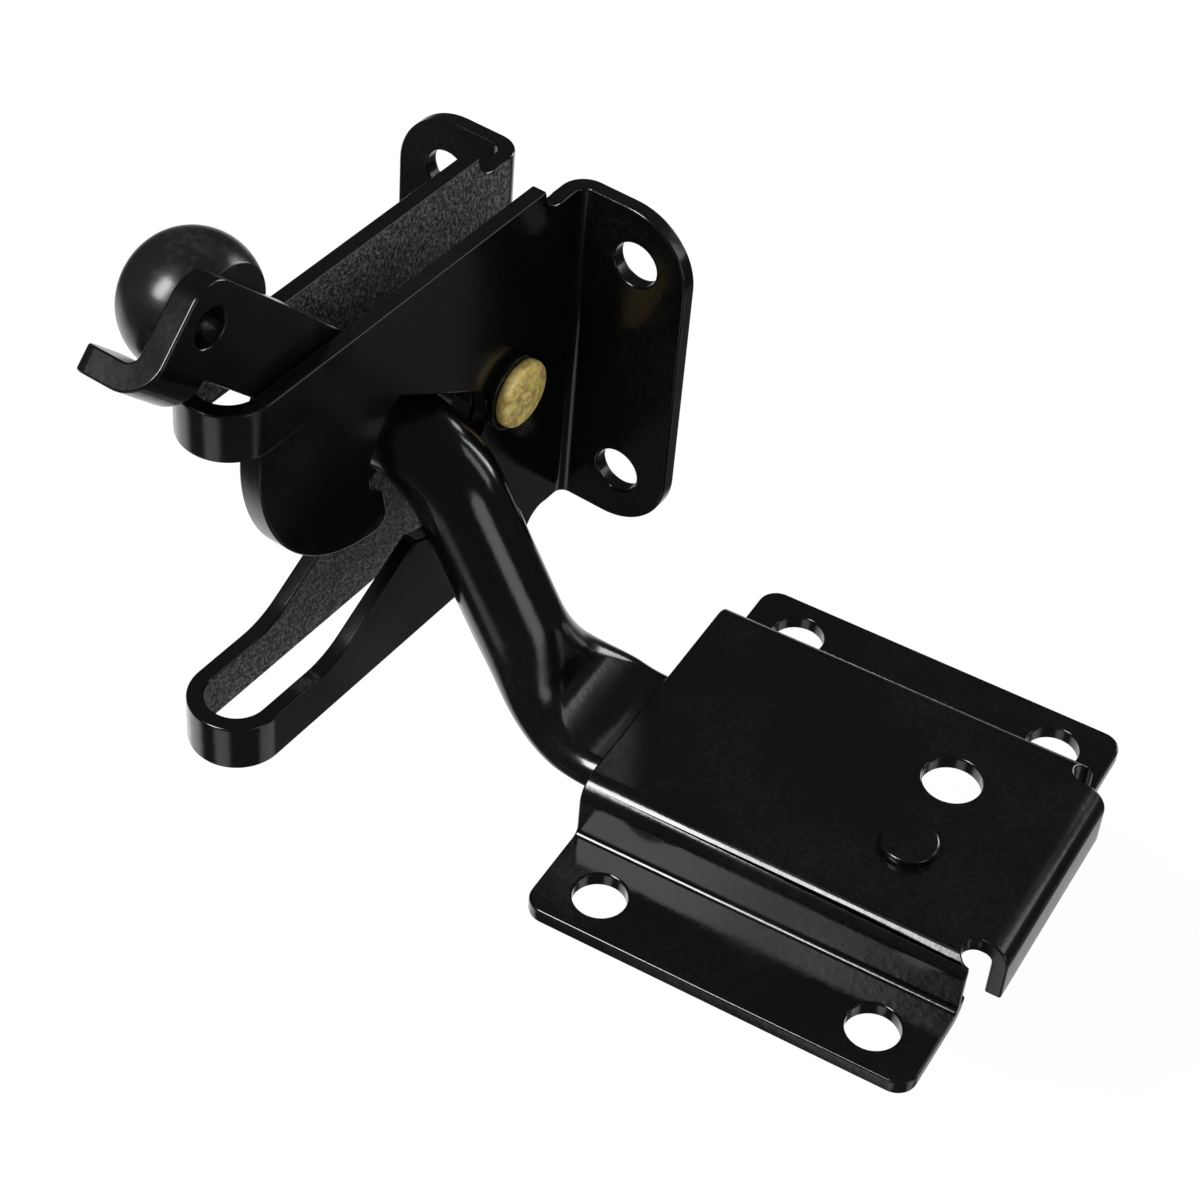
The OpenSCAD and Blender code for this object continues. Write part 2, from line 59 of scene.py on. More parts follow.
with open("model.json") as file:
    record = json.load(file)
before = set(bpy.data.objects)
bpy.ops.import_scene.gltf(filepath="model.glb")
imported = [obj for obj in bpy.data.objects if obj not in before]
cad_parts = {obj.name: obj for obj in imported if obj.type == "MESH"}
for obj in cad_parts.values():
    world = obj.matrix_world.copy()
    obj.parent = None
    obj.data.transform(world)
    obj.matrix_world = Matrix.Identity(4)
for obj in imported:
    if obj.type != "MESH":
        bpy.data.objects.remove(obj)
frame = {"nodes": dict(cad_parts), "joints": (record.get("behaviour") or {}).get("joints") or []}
CAD_BOX = [list(corner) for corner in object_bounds()]
NODES = frame["nodes"]
JOINTS = {joint["name"]: joint for joint in frame["joints"]}
MM = 0.001
SHEET = 2 * MM
PIVOT_SHANK = 2.5 * MM
FLOOR_GLOW = 0.93
LAMP_DISTANCE = 0.9
LAMP_AIM = (0.03, -0.025, -0.01)

# Soft boxes: name, direction from the latch, width and height
SOFT_BOXES = (
    ("key", (-0.24, -0.66, 0.71), (0.28, 0.42)),
    ("rim", (0.3, 0.92, 0.25), (0.3, 0.5)),
    ("strip", (0.695, 0.61, 0.381), (0.2, 0.44)),
)

# Bright parts of the room as gloss shows them: direction, cosines where each begins and is full, strength
BEHIND_GLOW = (0.78, 0.97, 0.9)
GLOSS_PATCHES = (
    ((0.05, -0.72, -0.69), 0.96, 0.99, 1.1),
    ((0.67, 0.27, -0.69), 0.95, 0.985, 0.8),
    ((0.38, 0.61, -0.695), 0.93, 0.985, 0.07),
    ((-0.7, -0.1, -0.7), 0.88, 0.97, 1.4),
    ((0.99, -0.12, 0.02), 0.95, 0.99, 2.6),
)


# Settings that a user would change

class CoatSettings(PropertyGroup):
    """Black powder coat on all sheet and bar pieces"""

    colour: FloatVectorProperty(
        name="Coat colour", description="Colour of the powder coat",
        subtype="COLOR", size=4, min=0, max=1, default=(0.0012, 0.0012, 0.0013, 1))
    dust: FloatVectorProperty(
        name="Dust colour", description="Colour of the fine dust that lies in the coat's grain",
        subtype="COLOR", size=4, min=0, max=1, default=(0.0036, 0.0036, 0.0036, 1))
    # Painted glints and sheen: these two colours lighten the faces between the cheeks to stand in for grazing light
    # caught by the dry spray's rough grains.
    painted_glint: FloatVectorProperty(
        name="Dry spray", description="Colour of the grains of the dry spray between the latch's cheeks",
        subtype="COLOR", size=4, min=0, max=1, default=(0.12, 0.12, 0.12, 1))
    painted_sheen: FloatVectorProperty(
        name="Between the grains", description="Colour between the grains of the dry spray",
        subtype="COLOR", size=4, min=0, max=1, default=(0.012, 0.012, 0.012, 1))
    inside: FloatProperty(
        name="Inside", description="Distance of the cheeks' inner faces from the latch's middle",
        unit="LENGTH", min=0.001, max=0.01, default=0.00372, precision=5)
    smooth: FloatProperty(
        name="Smoothest", description="Roughness of the glossiest patches of the coat",
        subtype="FACTOR", min=0, max=1, default=0.11)
    dull: FloatProperty(
        name="Dullest", description="Roughness of the dullest patches of the coat",
        subtype="FACTOR", min=0, max=1, default=0.22)
    grain: FloatProperty(
        name="Grain size", description="Distance between the bumps of the coat's orange peel",
        unit="LENGTH", min=0.0002, max=0.005, default=0.0009)
    depth: FloatProperty(
        name="Grain depth", description="Height of the bumps of the coat's orange peel",
        unit="LENGTH", min=0, max=0.0005, default=0.000012, precision=6)
    edge: FloatProperty(
        name="Edge rounding", description="Rounding that the coat leaves on cut sheet edges",
        unit="LENGTH", min=0.00005, max=0.001, default=0.00028, precision=5)


class ZincSettings(PropertyGroup):
    """Yellow passivated zinc on the pivot rivet"""

    pale: FloatVectorProperty(
        name="Pale yellow", description="Colour of the bright film",
        subtype="COLOR", size=4, min=0, max=1, default=(0.78, 0.6, 0.18, 1))
    brown: FloatVectorProperty(
        name="Brown", description="Colour of the thick film in the low spots",
        subtype="COLOR", size=4, min=0, max=1, default=(0.34, 0.24, 0.07, 1))
    spot: FloatProperty(
        name="Spot size", description="Distance between the mottled spots",
        unit="LENGTH", min=0.0002, max=0.01, default=0.0011)
    dome: FloatProperty(
        name="Dome", description="Rise of the head's crown",
        unit="LENGTH", min=0, max=0.001, default=0.00035)


class KnobSettings(PropertyGroup):
    """Gloss plastic of the knob"""

    colour: FloatVectorProperty(
        name="Knob colour", description="Colour of the plastic",
        subtype="COLOR", size=4, min=0, max=1, default=(0.005, 0.005, 0.0052, 1))
    smooth: FloatProperty(
        name="Smoothest", description="Roughness of the glossiest patches",
        subtype="FACTOR", min=0, max=1, default=0.22)
    dull: FloatProperty(
        name="Dullest", description="Roughness of handled patches",
        subtype="FACTOR", min=0, max=1, default=0.32)


class BarSettings(PropertyGroup):
    """Shape of the cranked striker bar, in its own frame with X along the bar"""

    diameter: FloatProperty(
        name="Diameter", description="Diameter of the round bar",
        unit="LENGTH", min=0.006, max=0.016, default=0.011)
    reach: FloatProperty(
        name="Reach", description="How far the bar reaches past the latch's centre plane",
        unit="LENGTH", min=0.01, max=0.03, default=0.015)
    corner: FloatProperty(
        name="Upper corner", description="Place of the crank's upper corner along the bar",
        unit="LENGTH", min=0, max=0.02, default=0.005)
    slope: FloatProperty(
        name="Slope", description="Slope of the crank",
        subtype="ANGLE", min=0.5, max=1.4, default=math.radians(61))
    fall: FloatProperty(
        name="Fall", description="Height of the crank between the two axes",
        unit="LENGTH", min=0.01, max=0.06, default=0.03427)
    upper_bend: FloatProperty(
        name="Upper bend", description="Bend radius at the upper corner",
        unit="LENGTH", min=0.006, max=0.02, default=0.0135)
    lower_bend: FloatProperty(
        name="Lower bend", description="Bend radius at the lower corner",
        unit="LENGTH", min=0.006, max=0.02, default=0.013)
    early: FloatProperty(
        name="Early press", description="How much sooner than the bend's end the bar is flat",
        min=1, max=2, default=1.35)
    lead: FloatProperty(
        name="Press lead", description="How far before the lower bend the bar begins to flatten",
        unit="LENGTH", min=0, max=0.01, default=0.007)
    sidestep: FloatProperty(
        name="Sidestep", description="How far the pressing pushes the bar's foot to the far side",
        unit="LENGTH", min=0, max=0.004, default=0.0022)
    tongue_x: FloatProperty(
        name="Rivet place", description="Distance from the latch to the rivet, along the bar",
        unit="LENGTH", min=0.03, max=0.1, default=0.0687)
    tongue_width: FloatProperty(
        name="Tongue width", description="Width of the flattened tongue",
        unit="LENGTH", min=0.011, max=0.03, default=0.0194)
    tongue_thick: FloatProperty(
        name="Tongue thickness", description="Thickness of the flattened tongue",
        unit="LENGTH", min=0.002, max=0.011, default=0.005)
    rivet_hole: FloatProperty(
        name="Rivet hole", description="Diameter of the hole for the rivet's shank",
        unit="LENGTH", min=0.002, max=0.008, default=0.0049)
    bevel: FloatProperty(
        name="End bevel", description="Width of the bevel round the bar's free end",
        unit="LENGTH", min=0, max=0.002, default=0.0008)
    out: FloatProperty(
        name="Out", description="Distance of the bar's axis from the post",
        unit="LENGTH", min=0.01, max=0.05, default=0.028)
    up: FloatProperty(
        name="Up", description="Height of the bar's axis above the screw pattern's centre",
        unit="LENGTH", min=-0.01, max=0.01, default=0.00185)
    sides: IntProperty(
        name="Sides", description="Number of sides round the bar", min=24, max=96, default=64)


class StageSettings(PropertyGroup):
    """Camera, floor and light"""

    azimuth: FloatProperty(
        name="Azimuth", description="Turn of the camera about the latch",
        subtype="ANGLE", default=math.radians(32.0))
    elevation: FloatProperty(
        name="Elevation", description="Height of the camera as an angle",
        subtype="ANGLE", default=math.radians(43.99))
    roll: FloatProperty(
        name="Roll", description="Roll of the camera",
        subtype="ANGLE", default=math.radians(5.19))
    distance: FloatProperty(
        name="Distance", description="Distance of the camera along its axis",
        unit="LENGTH", default=0.352902, precision=6)
    across: FloatProperty(
        name="Shift across", description="How far the camera stands to the right of the origin",
        unit="LENGTH", default=0.006868, precision=6)
    upward: FloatProperty(
        name="Shift up", description="How far the camera stands above the origin, in its own frame",
        unit="LENGTH", default=-0.033801, precision=6)
    lens: FloatProperty(
        name="Focal length", description="Focal length on a 36 mm sensor, in millimetres", default=88.97)
    drop: FloatProperty(
        name="Floor drop", description="Height of the latch's lowest point above the floor",
        unit="LENGTH", default=0.05)
    floor: FloatVectorProperty(
        name="Floor colour", description="Colour of the pale floor",
        subtype="COLOR", size=4, min=0, max=1, default=(0.86, 0.86, 0.86, 1))
    fill: FloatProperty(
        name="Fill", description="Strength of the even light from all round", min=0, default=0.8)
    gloom: FloatProperty(
        name="Studio tone", description="Brightness of the room as gloss shows it", min=0, default=0.1)
    shade: FloatProperty(
        name="Studio shade", description="Brightness of the room's dark side as gloss shows it", min=0, default=0.04)
    key: FloatProperty(
        name="Key", description="Power of the key lamp in watts", min=0, default=11.5)
    rim: FloatProperty(
        name="Rim", description="Power of the lamp behind the latch in watts", min=0, default=4.0)
    strip: FloatProperty(
        name="Strip", description="Power of the strip lamp on the right in watts", min=0, default=0.7)


SETTINGS = {
    "gate_latch_coat": CoatSettings,
    "gate_latch_zinc": ZincSettings,
    "gate_latch_knob": KnobSettings,
    "gate_latch_bar": BarSettings,
    "gate_latch_stage": StageSettings,
}


# Node helpers

def add(tree, kind, links=None, **settings):
    """Adds a node to a tree, sets its properties, and joins or sets its inputs by name or number."""
    item = tree.nodes.new(kind)
    for name, value in settings.items():
        setattr(item, name, value)
    for name, value in (links or {}).items():
        if isinstance(value, bpy.types.NodeSocket):
            tree.links.new(value, item.inputs[name])
        else:
            item.inputs[name].default_value = value
    return item


def math_of(tree, operation, *values):
    """One number worked out from others."""
    return add(tree, "ShaderNodeMath", dict(enumerate(values)), operation=operation).outputs[0]


def vector_of(tree, operation, *values):
    """One vector worked out from others."""
    return add(tree, "ShaderNodeVectorMath", dict(enumerate(values)), operation=operation).outputs[0]


# Finishes

def grain_group():
    """The bumps, dull patches and dust of a coated or moulded surface."""
    found = bpy.data.node_groups.get("surface_grain")
    if found:
        return found
    tree = bpy.data.node_groups.new("surface_grain", "ShaderNodeTree")
    for name, kind in (("Vector", "NodeSocketVector"), ("Cells", "NodeSocketFloat"),
                       ("Patches", "NodeSocketFloat"), ("Smooth", "NodeSocketFloat"),
                       ("Dull", "NodeSocketFloat")):
        tree.interface.new_socket(name, in_out="INPUT", socket_type=kind)
    for name in ("Height", "Roughness", "Dust"):
        tree.interface.new_socket(name, in_out="OUTPUT", socket_type="NodeSocketFloat")
    given = add(tree, "NodeGroupInput").outputs
    peel = add(tree, "ShaderNodeTexNoise", {
        "Vector": given["Vector"], "Scale": given["Cells"], "Detail": 1.0, "Roughness": 0.5}).outputs["Fac"]
    wave = add(tree, "ShaderNodeTexNoise", {
        "Vector": given["Vector"], "Scale": math_of(tree, "MULTIPLY", given["Cells"], 0.45),
        "Detail": 2.0, "Roughness": 0.5}).outputs["Fac"]
    height = math_of(tree, "ADD", peel, math_of(tree, "MULTIPLY", wave, 0.9))
    patch = add(tree, "ShaderNodeTexNoise", {
        "Vector": given["Vector"], "Scale": given["Patches"], "Detail": 3.0, "Roughness": 0.55}).outputs["Fac"]
    rough = add(tree, "ShaderNodeMapRange", {
        "Value": patch, "From Min": 0.3, "From Max": 0.7, "To Min": given["Smooth"], "To Max": given["Dull"]})
    speck = add(tree, "ShaderNodeTexNoise", {
        "Vector": given["Vector"], "Scale": math_of(tree, "MULTIPLY", given["Cells"], 1.7),
        "Detail": 2.0, "Roughness": 0.6}).outputs["Fac"]
    dust = add(tree, "ShaderNodeMapRange", {
        "Value": math_of(tree, "MULTIPLY", speck, patch), "From Min": 0.24, "From Max": 0.42})
    add(tree, "NodeGroupOutput", {
        "Height": height, "Roughness": rough.outputs["Result"], "Dust": dust.outputs["Result"]})
    return tree


def new_material(name):
    """An empty material with its Principled shader."""
    material = bpy.data.materials.new(name)
    material.use_nodes = True
    tree = material.node_tree
    tree.nodes.clear()
    shader = add(tree, "ShaderNodeBsdfPrincipled")
    add(tree, "ShaderNodeOutputMaterial", {"Surface": shader.outputs["BSDF"]})
    return material, tree, shader


def place_grain(tree, shader, cells, patches, smooth, dull, depth):
    """Puts the shared grain into a material and gives its dust mask."""
    here = add(tree, "ShaderNodeTexCoord").outputs["Object"]
    grain = add(tree, "ShaderNodeGroup", node_tree=grain_group())
    tree.links.new(here, grain.inputs["Vector"])
    for name, value in (("Cells", cells), ("Patches", patches), ("Smooth", smooth), ("Dull", dull)):
        grain.inputs[name].default_value = value
    bump = add(tree, "ShaderNodeBump", {"Height": grain.outputs["Height"], "Distance": depth, "Strength": 1.0})
    tree.links.new(bump.outputs["Normal"], shader.inputs["Normal"])
    tree.links.new(grain.outputs["Roughness"], shader.inputs["Roughness"])
    return here, grain.outputs["Dust"]


def black_coat():
    """Semi-gloss black powder coat with orange peel."""
    found = bpy.data.materials.get("black_powder_coat")
    if found:
        return found
    coat = bpy.context.scene.gate_latch_coat
    material, tree, shader = new_material("black_powder_coat")
    _, dust = place_grain(tree, shader, 1 / coat.grain, 60.0, coat.smooth, coat.dull, coat.depth)
    tone = add(tree, "ShaderNodeMix", {"Factor": dust, 6: coat.colour, 7: coat.dust}, data_type="RGBA")
    tree.links.new(tone.outputs[2], shader.inputs["Base Color"])
    shader.inputs["Specular IOR Level"].default_value = 0.42
    return material


def cheek_coat():
    """The same coat, with a thin, dry and grainy spray on the faces between the two cheeks: its bumps and roughness
    are the coat's own, and its light grain colours are painted glints and sheen of grazing light.
    """
    coat = bpy.context.scene.gate_latch_coat
    material = black_coat().copy()
    material.name = "black_powder_coat_cheeks"
    tree = material.node_tree
    shader = next(node for node in tree.nodes if node.type == "BSDF_PRINCIPLED")
    here = next(node for node in tree.nodes if node.type == "TEX_COORD").outputs["Object"]
    place = add(tree, "ShaderNodeSeparateXYZ", {0: here}).outputs
    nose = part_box("latch_body")[0].y + coat.inside + SHEET
    past = math_of(tree, "MAXIMUM", math_of(tree, "SUBTRACT", nose, place["Y"]), 0.0)
    off = math_of(tree, "SQRT", math_of(
        tree, "ADD", math_of(tree, "MULTIPLY", place["X"], place["X"]), math_of(tree, "MULTIPLY", past, past)))
    inner = math_of(tree, "LESS_THAN", off, coat.inside)
    spray = add(tree, "ShaderNodeGroup", node_tree=grain_group())
    tree.links.new(here, spray.inputs["Vector"])
    for name, value in (("Cells", 1.5 / coat.grain), ("Patches", 240.0), ("Smooth", 0.5), ("Dull", 0.7)):
        spray.inputs[name].default_value = value
    smooth_bump = next(node for node in tree.nodes if node.type == "BUMP")
    rough_bump = add(tree, "ShaderNodeBump", {
        "Height": spray.outputs["Height"], "Distance": 14 * coat.depth,
        "Normal": smooth_bump.outputs["Normal"], "Strength": inner})
    tree.links.new(rough_bump.outputs["Normal"], shader.inputs["Normal"])
    # Painted glints: light grains on a lighter ground stand in for grazing light caught by the dry spray's bumps.
    speck = add(tree, "ShaderNodeTexNoise", {"Vector": here, "Scale": 2.6 / coat.grain, "Detail": 2.0}).outputs["Fac"]
    share = add(tree, "ShaderNodeMapRange", {"Value": speck, "From Min": 0.44, "From Max": 0.64}).outputs[0]
    grains = add(tree, "ShaderNodeMix", {"Factor": share, 6: coat.painted_sheen, 7: coat.painted_glint}, data_type="RGBA")
    for socket, data_type, second in (
            ("Base Color", "RGBA", grains.outputs[2]), ("Roughness", "FLOAT", spray.outputs["Roughness"])):
        first = shader.inputs[socket].links[0].from_socket
        low, high, result = (6, 7, 2) if data_type == "RGBA" else (2, 3, 0)
        mixed = add(tree, "ShaderNodeMix", {"Factor": inner, low: first, high: second}, data_type=data_type)
        tree.links.new(mixed.outputs[result], shader.inputs[socket])
    return material


def black_plastic():
    """Gloss black moulded plastic."""
    found = bpy.data.materials.get("black_gloss_plastic")
    if found:
        return found
    knob = bpy.context.scene.gate_latch_knob
    material, tree, shader = new_material("black_gloss_plastic")
    _, dust = place_grain(tree, shader, 700.0, 140.0, knob.smooth, knob.dull, 0.000004)
    tone = add(tree, "ShaderNodeMix", {"Factor": dust, 6: knob.colour, 7: (0.012, 0.012, 0.012, 1)}, data_type="RGBA")
    tree.links.new(tone.outputs[2], shader.inputs["Base Color"])
    shader.inputs["Specular IOR Level"].default_value = 0.34
    return material


def yellow_zinc():
    """Mottled yellow passivated zinc."""
    found = bpy.data.materials.get("yellow_passivated_zinc")
    if found:
        return found
    zinc = bpy.context.scene.gate_latch_zinc
    material, tree, shader = new_material("yellow_passivated_zinc")
    here, dust = place_grain(tree, shader, 1 / zinc.spot, 420.0, 0.3, 0.5, 0.00004)
    mottle = add(tree, "ShaderNodeTexNoise", {
        "Vector": here, "Scale": 0.8 / zinc.spot, "Detail": 4.0, "Roughness": 0.62, "Distortion": 0.6}).outputs["Fac"]
    ramp = add(tree, "ShaderNodeValToRGB", {"Fac": mottle})
    marks = ramp.color_ramp.elements
    marks[0].position, marks[0].color = 0.36, zinc.brown
    marks[1].position, marks[1].color = 0.56, zinc.pale
    worn = marks.new(0.72)
    worn.color = (0.72, 0.62, 0.34, 1)
    tone = add(tree, "ShaderNodeMix", {
        "Factor": dust, 6: ramp.outputs["Color"], 7: (0.3, 0.22, 0.08, 1)}, data_type="RGBA")
    tree.links.new(tone.outputs[2], shader.inputs["Base Color"])
    shader.inputs["Metallic"].default_value = 0.3
    return material


# Mesh helpers

def finish_piece(mesh, name, node_name, body, material):
    """Makes a mesh an object that stands for a solid and moves with its body."""
    mesh.materials.clear()
    mesh.materials.append(material)
    mesh.polygons.foreach_set("use_smooth", [True] * len(mesh.polygons))
    piece = bpy.data.objects.new(name, mesh)
    bpy.context.scene.collection.objects.link(piece)
    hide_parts(node_name)
    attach(piece, body)
    return piece


def solid_copy(node_name):
    """A merged copy of a solid's mesh, with its flat faces whole again."""
    source = NODES[node_name].data
    mesh = bpy.data.meshes.new(node_name + "_dressed")
    mesh.from_pydata([v.co[:] for v in source.vertices], [], [p.vertices[:] for p in source.polygons])
    shell = bmesh.new()
    shell.from_mesh(mesh)
    bmesh.ops.remove_doubles(shell, verts=shell.verts, dist=2e-6)
    bmesh.ops.dissolve_degenerate(shell, edges=shell.edges, dist=1e-6)
    bmesh.ops.dissolve_limit(
        shell, angle_limit=math.radians(0.6), use_dissolve_boundaries=False, verts=shell.verts, edges=shell.edges)
    shell.to_mesh(mesh)
    shell.free()
    return mesh


def rounded_copy(node_name, edge, segments):
    """A copy of a solid with rounded edges; corners that the rounding throws off go back to the solid."""
    plain = solid_copy(node_name)
    near = BVHTree.FromPolygons([v.co for v in plain.vertices], [p.vertices[:] for p in plain.polygons])
    rough = bpy.data.objects.new("rough", plain)
    bpy.context.scene.collection.objects.link(rough)
    bevel = rough.modifiers.new("coat_rounding", "BEVEL")
    bevel.width = edge
    bevel.segments = segments
    bevel.limit_method = "ANGLE"
    bevel.angle_limit = math.radians(32)
    bevel.use_clamp_overlap = False
    ready = rough.evaluated_get(bpy.context.evaluated_depsgraph_get())
    mesh = bpy.data.meshes.new_from_object(ready)
    for vertex in mesh.vertices:
        spot, _, _, off = near.find_nearest(vertex.co)
        if off > 0.5 * edge:
            vertex.co = spot
    bpy.data.objects.remove(rough)
    bpy.data.meshes.remove(plain)
    return mesh


def even_shading(piece):
    """Shades large flat faces evenly up to their rounded edges."""
    even = piece.modifiers.new("even_shading", "WEIGHTED_NORMAL")
    even.mode = "FACE_AREA"


def coated_piece(name, node_name, body, edge, material=None, segments=3):
    """A copy of a solid with its cut edges rounded by the coat."""
    mesh = rounded_copy(node_name, edge, segments)
    mesh.name = name
    piece = finish_piece(mesh, name, node_name, body, material or black_coat())
    even_shading(piece)


def turned_mesh(name, profile, place, sides=96):
    """A turned shape from its profile of (height, radius) pairs about Z, set in place by a matrix."""
    shell = bmesh.new()
    rings = []
    for height, radius in profile:
        if radius < 1e-7:
            rings.append([shell.verts.new((0, 0, height))])
            continue
        angles = [2 * math.pi * i / sides for i in range(sides)]
        rings.append([shell.verts.new((radius * math.cos(a), radius * math.sin(a), height)) for a in angles])
    for low, high in zip(rings, rings[1:]):
        for i in range(sides):
            j = (i + 1) % sides
            corners = [low[i % len(low)], low[j % len(low)], high[j % len(high)], high[i % len(high)]]
            shell.faces.new(list(dict.fromkeys(corners)))
    bmesh.ops.recalc_face_normals(shell, faces=shell.faces)
    shell.transform(place)
    mesh = bpy.data.meshes.new(name)
    shell.to_mesh(mesh)
    shell.free()
    return mesh


def drilled(mesh, spot, radius, depth):
    """A mesh with a round hole cut through it along Z."""
    profile = [(-depth, 0), (-depth, radius), (depth, radius), (depth, 0)]
    drill = bpy.data.objects.new("drill", turned_mesh("drill", profile, Matrix.Translation(spot), 64))
    blank = bpy.data.objects.new("blank", mesh)
    for item in (drill, blank):
        bpy.context.scene.collection.objects.link(item)
    cut = blank.modifiers.new("hole", "BOOLEAN")
    cut.operation = "DIFFERENCE"
    cut.solver = "EXACT"
    cut.object = drill
    result = bpy.data.meshes.new_from_object(blank.evaluated_get(bpy.context.evaluated_depsgraph_get()))
    for item in (drill, blank):
        data = item.data
        bpy.data.objects.remove(item)
        bpy.data.meshes.remove(data)
    return result


# The cranked bar as a geometry node tree

def bar_tree():
    """Sweeps a round section along a filleted path and presses its far end into a flat tongue."""
    tree = bpy.data.node_groups.new("pressed_bar", "GeometryNodeTree")
    tree.interface.new_socket("Path", in_out="INPUT", socket_type="NodeSocketGeometry")
    for name in ("Radius", "Upper Bend", "Lower Bend", "Press Start", "Press End", "Tongue End",
                 "Half Width", "Half Thickness", "End Bevel", "Sidestep"):
        size = tree.interface.new_socket(name, in_out="INPUT", socket_type="NodeSocketFloat")
        size.subtype = "DISTANCE"
    tree.interface.new_socket("Sides", in_out="INPUT", socket_type="NodeSocketInt")
    tree.interface.new_socket("Coat", in_out="INPUT", socket_type="NodeSocketMaterial")
    tree.interface.new_socket("Bar", in_out="OUTPUT", socket_type="NodeSocketGeometry")
    given = add(tree, "NodeGroupInput").outputs

    index = add(tree, "GeometryNodeInputIndex").outputs[0]
    is_upper = math_of(tree, "COMPARE", index, 1.0, 0.5)
    bend = math_of(tree, "ADD", given["Lower Bend"], math_of(
        tree, "MULTIPLY", is_upper, math_of(tree, "SUBTRACT", given["Upper Bend"], given["Lower Bend"])))
    path = add(tree, "GeometryNodeFilletCurve", {"Curve": given["Path"], "Count": 40, "Radius": bend}, mode="POLY")
    path = add(tree, "GeometryNodeResampleCurve", {"Curve": path.outputs[0], "Length": 0.0004}, mode="LENGTH")
    length = add(tree, "GeometryNodeSplineParameter").outputs["Length"]
    spot = add(tree, "GeometryNodeInputPosition").outputs[0]
    path = add(tree, "GeometryNodeStoreNamedAttribute", {
        "Geometry": path.outputs[0], "Name": "along", "Value": length}, data_type="FLOAT", domain="POINT")
    path = add(tree, "GeometryNodeStoreNamedAttribute", {
        "Geometry": path.outputs[0], "Name": "centre", "Value": spot}, data_type="FLOAT_VECTOR", domain="POINT")
    ring = add(tree, "GeometryNodeCurvePrimitiveCircle", {
        "Resolution": given["Sides"], "Radius": given["Radius"]}, mode="RADIUS")
    half_step = math_of(tree, "DIVIDE", math.pi, given["Sides"])
    turn = add(tree, "ShaderNodeCombineXYZ", {"Z": half_step}).outputs[0]
    ring = add(tree, "GeometryNodeTransform", {"Geometry": ring.outputs[0], "Rotation": turn})
    swept = add(tree, "GeometryNodeCurveToMesh", {
        "Curve": path.outputs[0], "Profile Curve": ring.outputs[0], "Fill Caps": True})

    along = add(tree, "GeometryNodeInputNamedAttribute", {"Name": "along"}, data_type="FLOAT").outputs[0]
    centre = add(tree, "GeometryNodeInputNamedAttribute", {"Name": "centre"}, data_type="FLOAT_VECTOR").outputs[0]
    pressed = add(tree, "ShaderNodeMapRange", {
        "Value": along, "From Min": given["Press Start"], "From Max": given["Press End"]},
        interpolation_type="SMOOTHSTEP").outputs[0]
    bevel = math_of(tree, "MAXIMUM", math_of(tree, "SUBTRACT", given["End Bevel"], along), 0.0)
    past = math_of(tree, "MAXIMUM", math_of(tree, "SUBTRACT", along, given["Tongue End"]), 0.0)

    def eased(size):
        change = math_of(tree, "MULTIPLY", pressed, math_of(tree, "SUBTRACT", size, given["Radius"]))
        return math_of(tree, "SUBTRACT", math_of(tree, "ADD", given["Radius"], change), bevel)

    def rounded_off(size, distance):
        square = math_of(tree, "SUBTRACT", math_of(tree, "POWER", size, 2.0), math_of(tree, "POWER", distance, 2.0))
        return math_of(tree, "SQRT", math_of(tree, "MAXIMUM", square, 0.0))

    wide = math_of(tree, "MINIMUM", eased(given["Half Width"]), rounded_off(given["Half Width"], past))
    rim = math_of(tree, "SUBTRACT", given["Half Width"], given["Half Thickness"])
    past_rim = math_of(tree, "MAXIMUM", math_of(tree, "SUBTRACT", past, rim), 0.0)
    thin = math_of(tree, "SUBTRACT", given["Half Thickness"], rounded_off(given["Half Thickness"], past_rim))
    thick = math_of(tree, "SUBTRACT", eased(given["Half Thickness"]), thin)
    away = vector_of(tree, "SUBTRACT", spot, centre)
    side = add(tree, "ShaderNodeSeparateXYZ", {0: away}).outputs["Y"]
    squeeze = math_of(tree, "DIVIDE", thick, given["Radius"])
    oval = math_of(tree, "DIVIDE", side, given["Radius"])
    flat = math_of(tree, "MULTIPLY", math_of(tree, "SUBTRACT", math_of(tree, "SIGN", side), oval), pressed)
    spread = math_of(tree, "MULTIPLY", math_of(tree, "ADD", oval, flat), math_of(tree, "SUBTRACT", wide, thick))
    away = add(tree, "ShaderNodeVectorMath", {0: away, "Scale": squeeze}, operation="SCALE").outputs[0]
    back = add(tree, "ShaderNodeMapRange", {
        "Value": along, "From Min": given["Press End"], "From Max": given["Tongue End"],
        "To Min": 1.0, "To Max": 0.0}, interpolation_type="SMOOTHSTEP").outputs[0]
    aside = math_of(tree, "MULTIPLY", math_of(tree, "MULTIPLY", pressed, back), given["Sidestep"])
    move = add(tree, "ShaderNodeCombineXYZ", {"Y": math_of(tree, "ADD", spread, aside)}).outputs[0]
    target = vector_of(tree, "ADD", vector_of(tree, "ADD", centre, away), move)
    bar = add(tree, "GeometryNodeSetPosition", {"Geometry": swept.outputs[0], "Position": target})
    for name in ("along", "centre"):
        bar = add(tree, "GeometryNodeRemoveAttribute", {"Geometry": bar.outputs[0], "Name": name})
    bar = add(tree, "GeometryNodeRealizeInstances", {"Geometry": bar.outputs[0]})
    bar = add(tree, "GeometryNodeSetMaterial", {"Geometry": bar.outputs[0], "Material": given["Coat"]})
    add(tree, "NodeGroupOutput", {"Bar": bar.outputs[0]})
    return tree


def baked(piece, tree, values, name):
    """Runs a node tree on an object and gives the result as a plain mesh."""
    modifier = piece.modifiers.new(tree.name, "NODES")
    modifier.node_group = tree
    for item in tree.interface.items_tree:
        if item.item_type == "SOCKET" and item.in_out == "INPUT" and item.name in values:
            modifier[item.identifier] = values[item.name]
    ready = piece.evaluated_get(bpy.context.evaluated_depsgraph_get())
    mesh = bpy.data.meshes.new_from_object(ready)
    mesh.name = name
    piece.modifiers.remove(modifier)
    return mesh


# Operators

